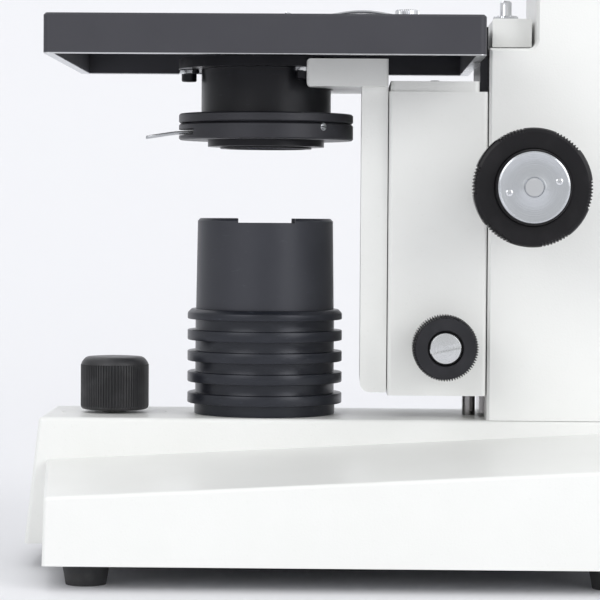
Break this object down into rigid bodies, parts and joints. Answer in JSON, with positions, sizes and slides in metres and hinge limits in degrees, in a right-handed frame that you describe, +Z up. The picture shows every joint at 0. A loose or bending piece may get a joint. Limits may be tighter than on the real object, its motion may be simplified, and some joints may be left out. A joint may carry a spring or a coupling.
{
  "type": "microscope",
  "caption": "Upright laboratory microscope with a built-in lamp, a square stage on a rack-driven slide, a substage condenser with an iris, a turning nosepiece and an inclined binocular head.",
  "frame": {"origin": "middle of the bounding box, on the table under the feet", "axes": "+Z up, -X towards the user, -Y the user's right hand"},
  "size_m": [0.2312, 0.15, 0.3746],
  "materials": {
    "white_paint": "fine textured ivory enamel",
    "grey_paint": "coarse textured light grey enamel",
    "black_anodise": "satin black",
    "stage_black": "fine matt black",
    "black_plastic": "satin moulded plastic",
    "rubber": "matt",
    "steel": "ground",
    "bright_steel": "polished",
    "bronze": "machined",
    "turned_aluminium": "circular turned",
    "glass": "coated",
    "ceramic": "unglazed",
    "board_green": "solder mask",
    "core_steel": "laminated"
  },
  "bodies": {
    "root": {"base_casting": "white_paint", "bottom_plate": "steel", "rubber_feet": "rubber", "fixing_screws": "steel", "power_inlet": "black_plastic", "switch_housing": "black_plastic", "transformer": "core_steel", "dimmer_board": "board_green", "brightness_dial": "white_paint", "illuminator_housing": "black_anodise", "lamp_socket": "ceramic", "halogen_bulb": "glass", "limb_casting": "white_paint", "rear_cover": "white_paint", "focus_bushes": "bronze", "guide_rod": "bright_steel", "nosepiece_seat": "white_paint", "head_mount_ring": "black_anodise"},
    "rocker": {"switch_rocker": "black_plastic"},
    "brightness": {"brightness_knob": "black_plastic"},
    "sleeve": {"filter_sleeve": "black_anodise", "sleeve_glass": "glass"},
    "coarse_drive": {"coarse_shaft": "steel", "coarse_knobs": "black_plastic"},
    "fine_drive": {"fine_shaft": "bright_steel", "fine_knobs": "black_plastic", "fine_knob_inserts": "turned_aluminium"},
    "stage_carriage": {"focus_slide": "steel", "stop_block": "white_paint", "carriage_bushes": "bronze", "carrier_block": "white_paint", "block_cap": "white_paint", "stage_hanger": "stage_black", "stage_plate": "stage_black"},
    "stop_adjuster": {"stop_screw": "bright_steel"},
    "clip_left": {"left_clip": "bright_steel"},
    "clip_right": {"right_clip": "bright_steel"},
    "condenser": {"condenser_carrier": "grey_paint", "condenser_rail": "steel", "condenser_holder": "black_anodise", "holder_screws": "black_anodise", "condenser_body": "black_anodise", "condenser_lenses": "glass", "iris_housing": "black_anodise"},
    "condenser_drive": {"condenser_shaft": "steel", "condenser_knob": "black_plastic", "condenser_knob_screw": "steel"},
    "iris": {"iris_ring": "steel"},
    "nosepiece": {"turret": "black_anodise", "objectives": "bright_steel"},
    "head": {"head_housing": "white_paint"},
    "head_lock": {"head_lock_screw": "bright_steel"},
    "tube_left": {"left_tube": "black_anodise"},
    "tube_right": {"right_tube": "black_anodise"},
    "diopter": {"diopter_ring": "black_anodise"},
    "spacing": {"spacing_wheel": "black_plastic"},
    "eyepiece_left": {"left_eyepiece": "black_plastic", "left_eyecup": "rubber"},
    "eyepiece_right": {"right_eyepiece": "black_plastic", "right_eyecup": "rubber"}
  },
  "joints": [
    {"name": "stage_focus", "type": "slide", "parent": "root", "child": "stage_carriage", "axis": [0, 0, 1], "range_m": [0, 0.017]},
    {"name": "coarse_focus", "type": "hinge", "parent": "root", "child": "coarse_drive", "pos_m": [0.07107, 0, 0.1132], "axis": [0, 1, 0], "range_deg": [0, 188.3]},
    {"name": "fine_focus", "type": "hinge", "parent": "root", "child": "fine_drive", "pos_m": [0.07107, 0, 0.1132], "axis": [0, 1, 0], "continuous": true},
    {"name": "stop_screw_turn", "type": "hinge", "parent": "stage_carriage", "child": "stop_adjuster", "pos_m": [0.06637, 0, 0.1639], "axis": [0, 0, 1], "continuous": true},
    {"name": "condenser_lift", "type": "slide", "parent": "stage_carriage", "child": "condenser", "axis": [0, 0, 1], "range_m": [-0.007, 0.0055]},
    {"name": "condenser_focus", "type": "hinge", "parent": "stage_carriage", "child": "condenser_drive", "pos_m": [0.04727, 0, 0.0668], "axis": [0, 1, 0], "range_deg": [-83, 65]},
    {"name": "iris_lever", "type": "hinge", "parent": "condenser", "child": "iris", "pos_m": [-0.00623, 0, 0.1292], "axis": [0, 0, 1], "range_deg": [-30, 30]},
    {"name": "left_clip_swing", "type": "hinge", "parent": "stage_carriage", "child": "clip_left", "pos_m": [0.03577, 0.027, 0.162], "axis": [0, 0, 1], "range_deg": [-40, 40]},
    {"name": "right_clip_swing", "type": "hinge", "parent": "stage_carriage", "child": "clip_right", "pos_m": [0.03577, -0.027, 0.162], "axis": [0, 0, 1], "range_deg": [-40, 40]},
    {"name": "nosepiece_turn", "type": "hinge", "parent": "root", "child": "nosepiece", "pos_m": [-0.00623, 0, 0.29495], "axis": [-0.2756, 0, -0.9613], "continuous": true},
    {"name": "head_turn", "type": "hinge", "parent": "root", "child": "head", "pos_m": [-0.00623, 0, 0.293], "axis": [0, 0, 1], "continuous": true},
    {"name": "head_lock_turn", "type": "hinge", "parent": "root", "child": "head_lock", "pos_m": [-0.00623, -0.028, 0.2895], "axis": [0, 1, 0], "range_deg": [0, 180]},
    {"name": "left_tube_slide", "type": "slide", "parent": "head", "child": "tube_left", "axis": [0, 1, 0], "range_m": [-0.005, 0.005]},
    {"name": "right_tube_slide", "type": "slide", "parent": "head", "child": "tube_right", "axis": [0, 1, 0], "range_m": [-0.005, 0.005]},
    {"name": "spacing_turn", "type": "hinge", "parent": "head", "child": "spacing", "pos_m": [-0.04123, 0, 0.32205], "axis": [-0.866, 0, 0.5], "range_deg": [-58, 58]},
    {"name": "diopter_turn", "type": "hinge", "parent": "tube_left", "child": "diopter", "pos_m": [-0.04123, 0.032, 0.32205], "axis": [-0.866, 0, 0.5], "range_deg": [-60, 60]},
    {"name": "left_eyepiece_lift", "type": "slide", "parent": "tube_left", "child": "eyepiece_left", "axis": [-0.866, 0, 0.5], "range_m": [0, 0.02]},
    {"name": "right_eyepiece_lift", "type": "slide", "parent": "tube_right", "child": "eyepiece_right", "axis": [-0.866, 0, 0.5], "range_m": [0, 0.02]},
    {"name": "brightness_turn", "type": "hinge", "parent": "root", "child": "brightness", "pos_m": [-0.05203, 0, 0.0445], "axis": [0, 0, 1], "range_deg": [0, 270]},
    {"name": "switch_rock", "type": "hinge", "parent": "root", "child": "rocker", "pos_m": [0.10877, -0.047, 0.0205], "axis": [0, 0, 1], "range_deg": [0, 16]},
    {"name": "sleeve_lift", "type": "slide", "parent": "root", "child": "sleeve", "axis": [0, 0, 1], "range_m": [0, 0.012]}
  ],
  "couplings": [
    {"joint": "coarse_focus", "follows": "stage_focus", "rad_per_m": 192.31},
    {"joint": "condenser_focus", "follows": "condenser_lift", "rad_per_m": 204.08},
    {"joint": "right_tube_slide", "follows": "left_tube_slide", "ratio": -1},
    {"joint": "spacing_turn", "follows": "left_tube_slide", "rad_per_m": 200}
  ]
}
